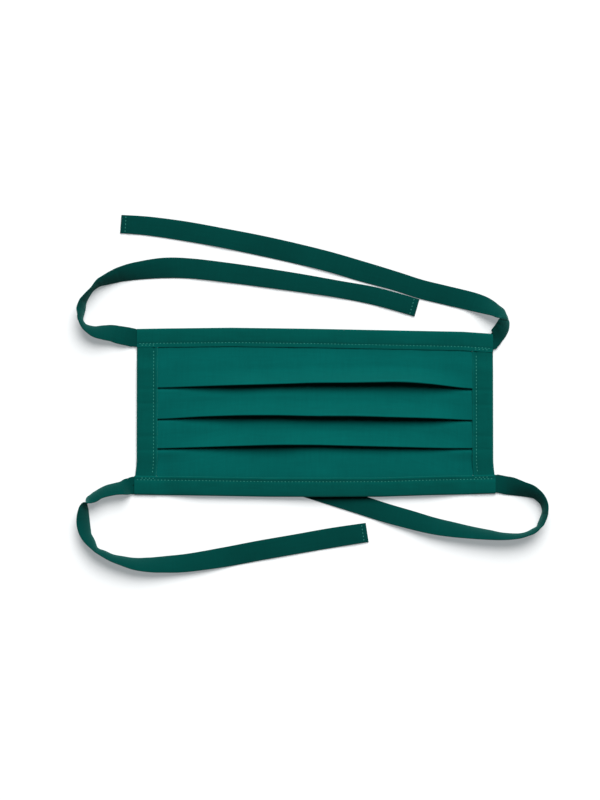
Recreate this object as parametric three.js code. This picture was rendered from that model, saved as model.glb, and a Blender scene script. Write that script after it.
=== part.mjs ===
// A pleated cotton face mask with four tie tapes, lying face up on a table.
//
// Millimetres, +Z up, +X across the mask to the right, +Y towards its top (nose) edge.
// The origin is on the table, under the middle of the mask's body.
//
// Every piece is cloth, so every piece is a wall of even thickness built on both sides of a
// grid of middle points: the pleated panel, two hems folded round its short sides, two bands
// folded round its long sides, and a flat tape out of each end of each band.
import * as THREE from 'three';

// ---- Cloth ----
const WALL = 1.0; // thickness of every cloth wall
const GAP = 0.3; // air between two cloths that touch
const LAYER = WALL + GAP; // height from the middle of one cloth to the next
const BACK = WALL / 2; // middle height of a cloth that lies on the table
const SLOT = BACK + LAYER; // middle height of what a band or hem is folded round
const FRONT = SLOT + LAYER; // middle height of a band's front

// ---- Body ----
const BODY_HALF = 95.95; // middle to the side edges
const RIGHT_STRETCH = 0.45; // the right end reaches this much further out
const STRETCH_FROM = 30;
const STRETCH_TO = 90;
const FLARE = 1.2; // how far the side edges spread towards the bottom corners
const FLARE_FROM = 25; // distance below the middle where that spread begins
const FLARE_LENGTH = 15;
const BAND_WIDTH = 10;
const HEM_WIDTH = 11;
const BAND_GRIP = 7; // how deep the panel's edge sits in the bands
const PANEL_HALF = 92; // middle to the panel's own edge, inside the hems
const NOTCH_FROM = 83.4; // the panel's corners are cut away past here, to clear the ties' ends
const NOTCH_TO = 85.2;

// The long edges bow a little. y is the outer edge's distance from the middle line.
const TOP_EDGE = [
  { x: -98, y: 45.1 },
  { x: -80, y: 45.4 },
  { x: -45, y: 45.8 },
  { x: 0, y: 45.2 },
  { x: 50, y: 44.2 },
  { x: 80, y: 43.6 },
  { x: 98, y: 42.3 },
];
const BOTTOM_EDGE = [
  { x: -98, y: -44.5 },
  { x: -60, y: -45.1 },
  { x: -25, y: -45.7 },
  { x: 5, y: -45.8 },
  { x: 35, y: -45.7 },
  { x: 60, y: -44.9 },
  { x: 80, y: -44.4 },
  { x: 98, y: -43.9 },
];

// ---- Pleats ----
// Each pleat's folded edge faces down the mask. It lies at y = side where the hems hold it and
// bows up to y = middle, where the flap also stands open.
const PLEATS = [
  { side: 12.9, middle: 15.2 },
  { side: -4.1, middle: -2.7 },
  { side: -19.7, middle: -18.3 },
];
const PLEAT_DEPTH = 7.5; // from the folded edge to the hidden fold behind it
const FLAP_OPEN = 2.6; // how far a flap stands open in the middle
const FOLD_RADIUS = LAYER / 2;
const FOLD_STEPS = 4;
const RISE_MARGIN = 1.5; // the cloth is at full height this far above a hidden fold
const TOP_RUN = 5; // below the top band the cloth rises half a layer in this distance

// A hem's front comes down from the pleats to the bands in these lengths, and dips a little
// between two pleats.
const HEM_RAMP_TOP = 13;
const HEM_RAMP_BOTTOM = 10;
const HEM_DIP = 0.5;
const HEM_DIP_FULL = 4; // the dip is deepest this far below a folded edge
const HEM_DIP_END = 7; // and ends this far below it
const HEM_SLACK = 0.1; // a little more air over the pleats than between two plain cloths
const HEM_STEPS = 16;

// ---- Form ----
const DOME = 6; // how far the middle of the panel stands above the table
const DOME_HALF = 84; // the dome ends here, where the hems begin
const DOME_SLOPE_X = 70;
const DOME_SLOPE_Y = 18;
const ARCH = 2; // the bottom band rides up this far over the tie that passes under it
const ARCH_FLAT = 49.5; // full height to this distance from the middle
const ARCH_END = 77.5;

// Distances from the middle at which the panel and both bands have a section.
const STATIONS = [5.5, 16.5, 27.5, 38.5, 49.5, 60, 70, 77.5, NOTCH_FROM];
const CORNER_STATIONS = [88, 92]; // further ones of the bands, over the hems and ties

// ---- Ties ----
const TAPE_WIDTH = 10.4;
const ROOT_WIDTH = 8; // a tape is tucked in where a band grips it
const TABLE_CLEARANCE = 0.1; // between a free tape and the table
const ROOT_LIFT = SLOT - BACK - TABLE_CLEARANCE;
const STEPS_PER_ROW = 2;

// One row for each turn of a tape's route, from its end inside the band to its free tip.
// roll is the turn of the tape about its own run: 0 flat, 90 on its edge, 180 flat and turned
// over. lift is the height of its lower edge above the table. skew turns its width in plan.
const TIE_TOP_LEFT = [
  { x: -86, y: 39.4, roll: 0, lift: ROOT_LIFT, width: ROOT_WIDTH },
  { x: -95, y: 39.1, roll: 0, lift: ROOT_LIFT, width: ROOT_WIDTH },
  { x: -98.5, y: 40, roll: 2, lift: 1.1, width: 9 },
  { x: -102.8, y: 41.3, roll: 11, lift: 0.5 },
  { x: -106, y: 41.9, roll: 17, lift: 0.2 },
  { x: -109.4, y: 42.7, roll: 25 },
  { x: -113.7, y: 43, roll: 36 },
  { x: -119, y: 43.6, roll: 54 },
  { x: -124, y: 46.2, roll: 78 },
  { x: -126.1, y: 49.9, roll: 84 },
  { x: -126.1, y: 53.1, roll: 75 },
  { x: -125.9, y: 56.1, roll: 66 },
  { x: -124.8, y: 59.9, roll: 72 },
  { x: -122.1, y: 63.7, roll: 79 },
  { x: -119.7, y: 66.5, roll: 82 },
  { x: -116.3, y: 69.7, roll: 72 },
  { x: -112.5, y: 71.5, roll: 61 },
  { x: -107.8, y: 73.4, roll: 50 },
  { x: -103.9, y: 74.7, roll: 42 },
  { x: -95.4, y: 76.5, roll: 25, width: 10.3 },
  { x: -81.3, y: 78.1, roll: 13, width: 11.2 },
  { x: -66, y: 77.8, roll: 2, width: 11 },
  { x: -44.5, y: 75.3, roll: 0, width: 10.8 },
  { x: -25.1, y: 72.6, roll: 0, width: 10.5 },
  { x: -5.7, y: 69.7, roll: 0, width: 10 },
  { x: 13.8, y: 66.5, roll: 0, width: 9.4 },
  { x: 34, y: 62.6, roll: 0, width: 9.8 },
  { x: 55.4, y: 56.5, roll: 0, width: 9.8 },
];
const TIE_TOP_RIGHT = [
  { x: 86, y: 37.2, roll: 0, lift: ROOT_LIFT, width: 7 },
  { x: 95.5, y: 36.3, roll: 0, lift: ROOT_LIFT, width: 6, skew: -14 },
  { x: 98.3, y: 38.1, roll: 1, lift: 1.15, width: 8, skew: -44 },
  { x: 99.6, y: 41.5, roll: 13, lift: 0.8, width: 9.8, skew: -27 },
  { x: 100.3, y: 44, roll: 33, lift: 0.4, width: 10, skew: -14 },
  { x: 101.7, y: 46.4, roll: 45, width: 10, skew: -7 },
  { x: 102.1, y: 49.1, roll: 52 },
  { x: 101.9, y: 51.3, roll: 64 },
  { x: 100.3, y: 53.3, roll: 50 },
  { x: 98.1, y: 54.7, roll: 46 },
  { x: 95, y: 56.4, roll: 34 },
  { x: 90.4, y: 58.3, roll: 19 },
  { x: 82.9, y: 60.5, roll: 4 },
  { x: 69.9, y: 63.6, roll: 0 },
  { x: 57, y: 66.8, roll: 0 },
  { x: 44, y: 71, roll: 0 },
  { x: 26.7, y: 76, roll: 0, width: 11 },
  { x: 7.3, y: 81.7, roll: 0, width: 11 },
  { x: -12.2, y: 86.5, roll: 0, width: 11 },
  { x: -31.6, y: 90.8, roll: 0, width: 11 },
  { x: -51, y: 94.7, roll: 0, width: 10.7 },
  { x: -70.5, y: 98.2, roll: 0, width: 10.7 },
  { x: -89.9, y: 100.9, roll: 0, width: 10.3 },
  { x: -104.8, y: 102, roll: 0, width: 10 },
];
const TIE_BOTTOM_LEFT = [
  { x: -86, y: -38.7, roll: 0, lift: ROOT_LIFT, width: ROOT_WIDTH },
  { x: -96, y: -38.5, roll: 0, lift: ROOT_LIFT, width: 7.6 },
  { x: -99.8, y: -39.5, roll: 5, lift: 1, width: 8.4 },
  { x: -103.7, y: -40.9, roll: 43, lift: 0.6 },
  { x: -107.3, y: -41.5, roll: 50, lift: 0.1 },
  { x: -111.6, y: -42.5, roll: 52 },
  { x: -115.5, y: -44.1, roll: 57 },
  { x: -118.7, y: -46.1, roll: 57 },
  { x: -121.8, y: -47.9, roll: 72 },
  { x: -123.8, y: -50.6, roll: 108 },
  { x: -124.5, y: -54.3, roll: 124 },
  { x: -124.6, y: -58.8, roll: 134 },
  { x: -124.1, y: -62.6, roll: 134 },
  { x: -122.9, y: -66.6, roll: 127 },
  { x: -120.5, y: -70.2, roll: 118 },
  { x: -117.5, y: -74.2, roll: 101 },
  { x: -113.4, y: -76.4, roll: 105 },
  { x: -109, y: -78.6, roll: 107 },
  { x: -103.9, y: -80.1, roll: 116 },
  { x: -96.7, y: -81.8, roll: 129 },
  { x: -88.8, y: -82.3, roll: 142 },
  { x: -81.3, y: -82.1, roll: 150 },
  { x: -68.3, y: -81.2, roll: 163 },
  { x: -49, y: -78.2, roll: 174, width: 10.7 },
  { x: -29.4, y: -74.5, roll: 180, width: 10.8 },
  { x: -10, y: -71.1, roll: 180, width: 10.7 },
  { x: 9.5, y: -67.7, roll: 180, width: 10.8 },
  { x: 28.4, y: -64.8, roll: 180, width: 10.5 },
];
const TIE_BOTTOM_RIGHT = [
  { x: 86, y: -38, roll: 0, lift: ROOT_LIFT, width: ROOT_WIDTH },
  { x: 96, y: -37.9, roll: 0, lift: ROOT_LIFT, width: 7.8 },
  { x: 99.7, y: -38.6, roll: 0, lift: 1.1, width: 9.2 },
  { x: 103, y: -39.4, roll: 8, lift: 0.6, width: 9.9 },
  { x: 106.7, y: -40.1, roll: 24, lift: 0.1 },
  { x: 112, y: -41.5, roll: 41 },
  { x: 116.4, y: -42.7, roll: 49 },
  { x: 119.6, y: -44.4, roll: 60 },
  { x: 121.7, y: -46.4, roll: 64 },
  { x: 123.2, y: -48.6, roll: 70 },
  { x: 124, y: -51.3, roll: 74 },
  { x: 124, y: -54.3, roll: 78 },
  { x: 123.2, y: -57, roll: 76 },
  { x: 121.9, y: -60, roll: 77 },
  { x: 120.3, y: -62.4, roll: 82 },
  { x: 117.8, y: -64.2, roll: 79 },
  { x: 114.5, y: -65.7, roll: 80 },
  { x: 110.3, y: -66.8, roll: 77 },
  { x: 104.8, y: -67.1, roll: 71 },
  { x: 99.5, y: -66.9, roll: 65 },
  { x: 94.8, y: -66.3, roll: 58 },
  { x: 89.9, y: -65.7, roll: 53 },
  { x: 84, y: -64.9, roll: 47 },
  { x: 74.2, y: -63.3, roll: 37 },
  { x: 63.4, y: -61.2, roll: 27 },
  { x: 50.5, y: -57.7, roll: 14 },
  { x: 38.1, y: -54.2, roll: 3 },
  { x: 25.7, y: -50.2, roll: 0 },
  { x: 13.8, y: -46.4, roll: 0 },
  { x: 0.3, y: -42.2, roll: 0 },
  { x: -13.2, y: -38.1, roll: 0 },
  { x: -31, y: -32.7, roll: 0 },
];

// ---- Finish ----
const COTTON = { roughness: 0.9, metalness: 0 };
const PANEL_COLOUR = 0x0a625d;
const BINDING_COLOUR = 0x08514b;
const TAPE_COLOUR = 0x07463f;

// ---- Small tools ----

/** 0 before from, 1 after to, and an even S curve between them. */
function ease(value, from, to) {
  const t = THREE.MathUtils.clamp((value - from) / (to - from), 0, 1);
  return t * t * (3 - 2 * t);
}

/** The height y of an edge table at x, joined by straight lines. */
function edgeAt(rows, x) {
  const next = rows.findIndex((row) => row.x >= x);
  const low = rows[Math.max(next - 1, 0)];
  const high = rows[Math.max(next, 1)];
  return THREE.MathUtils.mapLinear(x, low.x, high.x, low.y, high.y);
}

/** A value on the smooth curve through b and c, with a and d as its neighbours. */
function smoothThrough(a, b, c, d, t) {
  const cubic = -a + 3 * b - 3 * c + d;
  const square = 2 * a - 5 * b + 4 * c - d;
  return b + 0.5 * t * (c - a + t * (square + t * cubic));
}

/** Points of a half circle in a section, from angle start (degrees), turning by 180 degrees. */
function halfCircle(centreY, centreZ, radius, start, turn) {
  const points = [];
  for (let step = 0; step <= FOLD_STEPS; step += 1) {
    const angle = THREE.MathUtils.degToRad(start + (turn * step) / FOLD_STEPS);
    points.push([centreY + radius * Math.cos(angle), centreZ + radius * Math.sin(angle)]);
  }
  return points;
}

/** The direction square to a grid of points at one of them. */
function gridNormal(grid, row, column) {
  const before = grid[Math.max(row - 1, 0)][column];
  const after = grid[Math.min(row + 1, grid.length - 1)][column];
  const left = grid[row][Math.max(column - 1, 0)];
  const right = grid[row][Math.min(column + 1, grid[row].length - 1)];
  const along = new THREE.Vector3().subVectors(after, before);
  const across = new THREE.Vector3().subVectors(right, left);
  return along.cross(across).normalize();
}

/** The outline of a grid, as pairs of neighbouring points, in the turn of its front faces. */
function gridRim(rows, columns) {
  const at = (row, column) => row * columns + column;
  const rim = [];
  for (let row = 0; row < rows - 1; row += 1) {
    rim.push([at(row, 0), at(row + 1, 0)]);
    rim.push([at(row + 1, columns - 1), at(row, columns - 1)]);
  }
  for (let column = 0; column < columns - 1; column += 1) {
    rim.push([at(rows - 1, column), at(rows - 1, column + 1)]);
    rim.push([at(0, column + 1), at(0, column)]);
  }
  return rim;
}

/** A closed wall, WALL thick, on both sides of a grid of middle points. */
function clothWall(grid) {
  const rows = grid.length;
  const columns = grid[0].length;
  const backStart = rows * columns;
  const front = [];
  const back = [];
  const faces = [];
  for (let row = 0; row < rows; row += 1) {
    for (let column = 0; column < columns; column += 1) {
      const offset = gridNormal(grid, row, column).multiplyScalar(WALL / 2);
      front.push(...grid[row][column].clone().add(offset));
      back.push(...grid[row][column].clone().sub(offset));
    }
  }
  for (let row = 0; row < rows - 1; row += 1) {
    for (let column = 0; column < columns - 1; column += 1) {
      const a = row * columns + column;
      const b = a + columns;
      faces.push(a, b, b + 1, a, b + 1, a + 1);
      faces.push(backStart + a, backStart + b + 1, backStart + b);
      faces.push(backStart + a, backStart + a + 1, backStart + b + 1);
    }
  }
  for (const [from, to] of gridRim(rows, columns)) {
    faces.push(to, from, backStart + from, to, backStart + from, backStart + to);
  }
  const geometry = new THREE.BufferGeometry();
  geometry.setAttribute('position', new THREE.Float32BufferAttribute([...front, ...back], 3));
  geometry.setIndex(faces);
  geometry.computeVertexNormals();
  return geometry;
}

/** STATIONS on both sides of the middle, and further ones past them, from left to right. */
function acrossTheBody(outer) {
  const right = [...STATIONS, ...outer];
  return [...right.map((x) => -x).reverse(), ...right];
}

// ---- Form of the body ----

/** Distance from the middle to the side edge at height y. */
function sideEdge(y) {
  return BODY_HALF + FLARE * ease(-y, FLARE_FROM, FLARE_FROM + FLARE_LENGTH);
}

/** Moves the right end outwards: the body is a little longer on that side. */
function stretched(x) {
  return x + RIGHT_STRETCH * ease(x, STRETCH_FROM, STRETCH_TO);
}

/** How far the bottom band is lifted at x, over the tie that passes under it. */
function archAt(x) {
  return ARCH * (1 - ease(Math.abs(x), ARCH_FLAT, ARCH_END));
}

/** How far the panel's cloth is lifted at a place: its dome, and the arch near its lower edge. */
function liftAt(x, y) {
  const topInner = edgeAt(TOP_EDGE, x) - BAND_WIDTH;
  const bottomInner = edgeAt(BOTTOM_EDGE, x) + BAND_WIDTH;
  const acrossX = 1 - ease(Math.abs(x), DOME_HALF - DOME_SLOPE_X, DOME_HALF);
  const belowTop = ease(topInner - y, 0, DOME_SLOPE_Y);
  const aboveBottom = ease(y - bottomInner, 0, DOME_SLOPE_Y);
  return DOME * acrossX * belowTop * aboveBottom + archAt(x) * (1 - aboveBottom);
}

/** Where the panel's long edge ends at x: inside the band, but short of the ties at corners. */
function panelEnd(rows, x, inward) {
  const outer = edgeAt(rows, x);
  if (Math.abs(x) > NOTCH_FROM) {
    return outer + inward * (BAND_WIDTH + 2 * GAP);
  }
  return outer + inward * (BAND_WIDTH - BAND_GRIP);
}

/** The part of a section that one pleat makes: flap, folded edge, return and hidden fold. */
function pleatSection(edge, open) {
  const folded = edge + WALL / 2 + FOLD_RADIUS;
  const hidden = edge + PLEAT_DEPTH - WALL / 2 - FOLD_RADIUS;
  const flapTop = 2 * LAYER;
  return [
    [edge + PLEAT_DEPTH + RISE_MARGIN, flapTop],
    [(folded + hidden) / 2, flapTop + open / 2],
    ...halfCircle(folded, flapTop + open - FOLD_RADIUS, FOLD_RADIUS, 90, 180),
    ...halfCircle(hidden, FOLD_RADIUS, FOLD_RADIUS, 90, -180),
    [(folded + hidden) / 2, 0],
    [edge - WALL, 0],
  ];
}

/** The pleated panel's section at x, from its top edge down, as middle points. */
function panelSection(x) {
  const bow = Math.cos((Math.PI / 2) * Math.min(Math.abs(x) / DOME_HALF, 1));
  const start = panelEnd(TOP_EDGE, x, -1);
  const topInner = edgeAt(TOP_EDGE, x) - BAND_WIDTH - 2 * GAP;
  const bottomInner = edgeAt(BOTTOM_EDGE, x) + BAND_WIDTH + 2 * GAP;
  const end = panelEnd(BOTTOM_EDGE, x, 1);
  const last = PLEATS[PLEATS.length - 1];
  const points = [[start, 0], [topInner - GAP, 0], [topInner - TOP_RUN, LAYER / 2]];
  for (const { side, middle } of PLEATS) {
    const edge = THREE.MathUtils.lerp(side, middle, bow);
    points.push(...pleatSection(edge, FLAP_OPEN * bow));
  }
  points.push([(last.side + bottomInner) / 2, 0], [bottomInner + GAP, 0], [end, 0]);
  return points.map(([y, z]) => new THREE.Vector3(stretched(x), y, SLOT + z + liftAt(x, y)));
}

/** The face panel: one cloth with three pleats folded downwards. */
function bodyPanel() {
  return clothWall(acrossTheBody([NOTCH_TO, PANEL_HALF]).map(panelSection));
}

/** A band folded round a long edge. inward is -1 for the top edge and 1 for the bottom. */
function band(rows, inward, rise) {
  const fold = WALL / 2 + LAYER;
  const middle = (BACK + FRONT) / 2;
  const bend = halfCircle(fold, middle, LAYER, -90, -180);
  const section = [[BAND_WIDTH, BACK], [BAND_WIDTH / 2, BACK], ...bend];
  section.push([BAND_WIDTH / 2, FRONT], [BAND_WIDTH, FRONT]);
  const endX = sideEdge(inward * -BODY_HALF);
  const columns = acrossTheBody([...CORNER_STATIONS, endX]);
  return clothWall(columns.map((x) => section.map(([inset, z]) => (
    new THREE.Vector3(stretched(x), edgeAt(rows, x) + inward * inset, z + rise(x))
  ))));
}

/** Middle height of a hem's front at height y: over the pleats, then down to the bands. */
function hemFront(y) {
  const first = PLEATS[0].side + PLEAT_DEPTH + RISE_MARGIN;
  const last = PLEATS[PLEATS.length - 1].side - RISE_MARGIN;
  const overPleats = (1 - ease(y, first, first + HEM_RAMP_TOP)) * ease(y, last - HEM_RAMP_BOTTOM, last);
  let dips = 0;
  for (const { side } of PLEATS.slice(0, -1)) {
    dips += ease(side - y, RISE_MARGIN, HEM_DIP_FULL)
      * (1 - ease(side - y, HEM_DIP_FULL, HEM_DIP_END));
  }
  return FRONT + (2 * LAYER + HEM_SLACK - HEM_DIP * dips) * overPleats;
}

/** A hem folded round a short side. side is -1 for the left and 1 for the right. */
function hem(side) {
  const rows = [];
  for (let step = 0; step <= HEM_STEPS; step += 1) {
    rows.push(hemSection(side, step / HEM_STEPS));
  }
  return clothWall(rows);
}

/** A hem's section at a share of the way from the bottom band to the top band. */
function hemSection(side, share) {
  const fold = WALL / 2 + LAYER;
  const low = edgeAt(BOTTOM_EDGE, side * BODY_HALF) + BAND_WIDTH + GAP;
  const high = edgeAt(TOP_EDGE, side * BODY_HALF) - BAND_WIDTH - GAP;
  const y = THREE.MathUtils.lerp(low, high, share);
  const front = hemFront(y);
  const half = (front - BACK) / 2;
  const bend = halfCircle(0, 0, 1, -90, -180).map(([out, up]) => (
    [fold + LAYER * out, BACK + half + half * up]
  ));
  const section = [[HEM_WIDTH, BACK], [HEM_WIDTH / 2, BACK], ...bend];
  section.push([HEM_WIDTH / 2, front], [HEM_WIDTH, front]);
  return section.map(([inset, z]) => new THREE.Vector3(stretched(side * (sideEdge(y) - inset)), y, z));
}

// ---- Ties ----

/** The rows of a route with the steps between them filled in. */
function routeSteps(rows) {
  const full = rows.map((row) => ({ lift: 0, width: TAPE_WIDTH, skew: 0, ...row }));
  const steps = [];
  for (let row = 0; row < full.length - 1; row += 1) {
    const near = [row - 1, row, row + 1, row + 2].map((index) => (
      full[THREE.MathUtils.clamp(index, 0, full.length - 1)]
    ));
    for (let step = 0; step < STEPS_PER_ROW; step += 1) {
      const filled = {};
      for (const key of Object.keys(full[0])) {
        filled[key] = smoothThrough(...near.map((place) => place[key]), step / STEPS_PER_ROW);
      }
      steps.push(filled);
    }
  }
  steps.push(full[full.length - 1]);
  return steps;
}

/** The two edges of a tape at one step of its route. */
function tapeEdges(steps, index) {
  const { x, y, roll, lift, width, skew } = steps[index];
  const before = steps[Math.max(index - 1, 0)];
  const after = steps[Math.min(index + 1, steps.length - 1)];
  const run = new THREE.Vector3(after.x - before.x, after.y - before.y, 0).normalize();
  const turn = THREE.MathUtils.degToRad(roll);
  const across = new THREE.Vector3(-run.y, run.x, 0);
  across.applyAxisAngle(new THREE.Vector3(0, 0, 1), THREE.MathUtils.degToRad(skew));
  across.multiplyScalar(Math.cos(turn));
  across.z = Math.sin(turn);
  const onEdge = (width / 2) * Math.abs(Math.sin(turn)) + (WALL / 2) * Math.abs(Math.cos(turn));
  const centre = new THREE.Vector3(x, y, TABLE_CLEARANCE + Math.max(lift, 0) + onEdge);
  return [-width / 2, width / 2].map((reach) => centre.clone().addScaledVector(across, reach));
}

/** A flat tape along its route. */
function tie(rows) {
  const steps = routeSteps(rows);
  return clothWall(steps.map((_, index) => tapeEdges(steps, index)));
}

// ---- The mask ----

/** A named cloth piece of one colour. */
function piece(name, geometry, color) {
  const mesh = new THREE.Mesh(geometry, new THREE.MeshStandardMaterial({ color, ...COTTON }));
  mesh.name = name;
  return mesh;
}

const mask = new THREE.Group();
mask.add(
  piece('body_panel', bodyPanel(), PANEL_COLOUR),
  piece('side_hem_left', hem(-1), BINDING_COLOUR),
  piece('side_hem_right', hem(1), BINDING_COLOUR),
  piece('top_band', band(TOP_EDGE, -1, () => 0), BINDING_COLOUR),
  piece('bottom_band', band(BOTTOM_EDGE, 1, archAt), BINDING_COLOUR),
  piece('tie_top_left', tie(TIE_TOP_LEFT), TAPE_COLOUR),
  piece('tie_top_right', tie(TIE_TOP_RIGHT), TAPE_COLOUR),
  piece('tie_bottom_left', tie(TIE_BOTTOM_LEFT), TAPE_COLOUR),
  piece('tie_bottom_right', tie(TIE_BOTTOM_RIGHT), TAPE_COLOUR),
);

export default mask;
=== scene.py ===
"""The looks of a pleated cotton face mask with four tie tapes, lying face up on a table."""
import math

import bmesh
import bpy
import numpy as np
from bpy.props import FloatProperty, FloatVectorProperty, PointerProperty
from mathutils import Matrix, Vector, noise
from mathutils.bvhtree import BVHTree


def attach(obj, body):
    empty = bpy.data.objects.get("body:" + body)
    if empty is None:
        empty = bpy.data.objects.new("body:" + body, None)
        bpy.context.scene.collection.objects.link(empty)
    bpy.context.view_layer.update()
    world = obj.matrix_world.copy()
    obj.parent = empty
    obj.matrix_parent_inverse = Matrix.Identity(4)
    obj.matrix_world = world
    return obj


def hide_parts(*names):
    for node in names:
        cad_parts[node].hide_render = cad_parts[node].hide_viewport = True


bl_info = {
    "name": "Cloth Face Mask",
    "version": (1, 0, 0),
    "blender": (4, 5, 0),
    "location": "View3D > Sidebar > Mask",
    "description": "Builds a pleated cotton face mask with tie tapes around its CAD frame",
    "category": "Object",
}

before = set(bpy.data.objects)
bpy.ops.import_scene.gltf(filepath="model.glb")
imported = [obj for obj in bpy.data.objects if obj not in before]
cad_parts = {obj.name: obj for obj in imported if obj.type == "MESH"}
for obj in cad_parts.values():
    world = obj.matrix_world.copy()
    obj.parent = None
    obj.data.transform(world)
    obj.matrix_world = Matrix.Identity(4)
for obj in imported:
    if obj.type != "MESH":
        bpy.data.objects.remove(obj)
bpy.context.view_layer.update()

MM = 0.001  # the tables and shapes below are in millimetres, and the meshes in metres

# ---- Body, as in the CAD ----
BODY_HALF = 95.95  # middle to the side edges
RIGHT_STRETCH = 0.45  # the right end reaches this much further out
STRETCH_FROM = 30  # and is drawn out between these distances from the middle
STRETCH_TO = 90
FLARE = 1.2  # how far the side edges spread towards the bottom corners
FLARE_FROM = 25
FLARE_LENGTH = 15
BAND_WIDTH = 10
HEM_WIDTH = 11
BAND_GRIP = 7  # how deep the panel's edge sits in the bands
PANEL_HALF = 92  # middle to the panel's own edge, inside the hems
NOTCH = 84.5  # past here the panel's corners are cut away, to clear the tapes' ends
TOP_EDGE = (
    (-98, 45.1), (-80, 45.4), (-45, 45.8), (0, 45.2), (50, 44.2), (80, 43.6), (98, 42.3),
)
BOTTOM_EDGE = (
    (-98, -44.5), (-60, -45.1), (-25, -45.7), (5, -45.8), (35, -45.7), (60, -44.9), (80, -44.4),
    (98, -43.9),
)

# ---- Layers ----
AIR = 0.1  # between two cloths that touch
FLOOR_GAP = 0.05
COLUMN = 1.25  # spacing of a sheet's points along its length
LIP = 0.45  # how far a folded edge curls down
CLEARANCE = 0.3  # between the panel's cut corners and the bands
HEM_TUCK = 0.3  # how far a hem's ends reach under the bands' inner edges
HEM_END = 12  # a hem's ends come into line with the sloping bands over this length
ARCH_FLAT = 58  # the bottom band's arch is full to here, and ends at ARCH_END
ARCH_END = 82
TAPE_CROSSES = 6  # x where a tape passes under the bottom band
TAPE_SPREAD = 20  # how widely it pushes the band up there
TAPE_PUSH = 0.7  # and by what share of the arch

# ---- Pleats: x, height of the folded edge, and how wide it stands open ----
PLEATS = (
    ((-92, 13.1, 0), (-81, 13.2, 0.1), (-62, 13.8, 1.3), (-40, 14.3, 3.5), (-19, 14.8, 3.1),
     (0, 15.4, 3.8), (19, 15.4, 4.3), (46, 15.9, 4.7), (60, 15.1, 4.1), (68, 14.3, 3.0),
     (81, 12.7, 0.6), (92, 12.4, 0)),
    ((-92, -3.9, 0), (-81, -3.7, 0.1), (-62, -2.6, 1.7), (-40, -2.1, 3.6), (-19, -2.1, 3.5),
     (0, -2.6, 3.8), (19, -2.6, 4.1), (46, -3.2, 3.9), (60, -3.5, 3.1), (68, -3.7, 2.2),
     (81, -4.3, 0.2), (92, -4.5, 0)),
    ((-92, -19.8, 0), (-81, -19.6, 0.2), (-62, -19.1, 1.2), (-40, -18.5, 2.5), (-19, -18, 3.3),
     (0, -18, 2.3), (19, -18.5, 2.3), (46, -19.1, 1.9), (68, -19.6, 1.2), (81, -19.6, 0.2),
     (92, -19.6, 0)),
)
PLEAT_DEPTH = 7.5  # from the folded edge to the hidden fold behind it
RISE_MARGIN = 1.5  # the cloth is at full height this far above a hidden fold
PLEAT_TOP = 20  # every folded edge lies below this height, and the top band above it
BLEND = 6  # the pleats' tables are smoothed over this length

# ---- Seams ----
SEAM_FROM_INNER = 1.9  # stitch line to a band's or hem's inner edge
SEAM_HALF = 0.7  # half the width of the groove that a seam draws in
SEAM_DEPTH = 0.22
CREASE_DEPTH = 0.22  # faint creases cross the hems where the pleats' layers end under them

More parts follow.
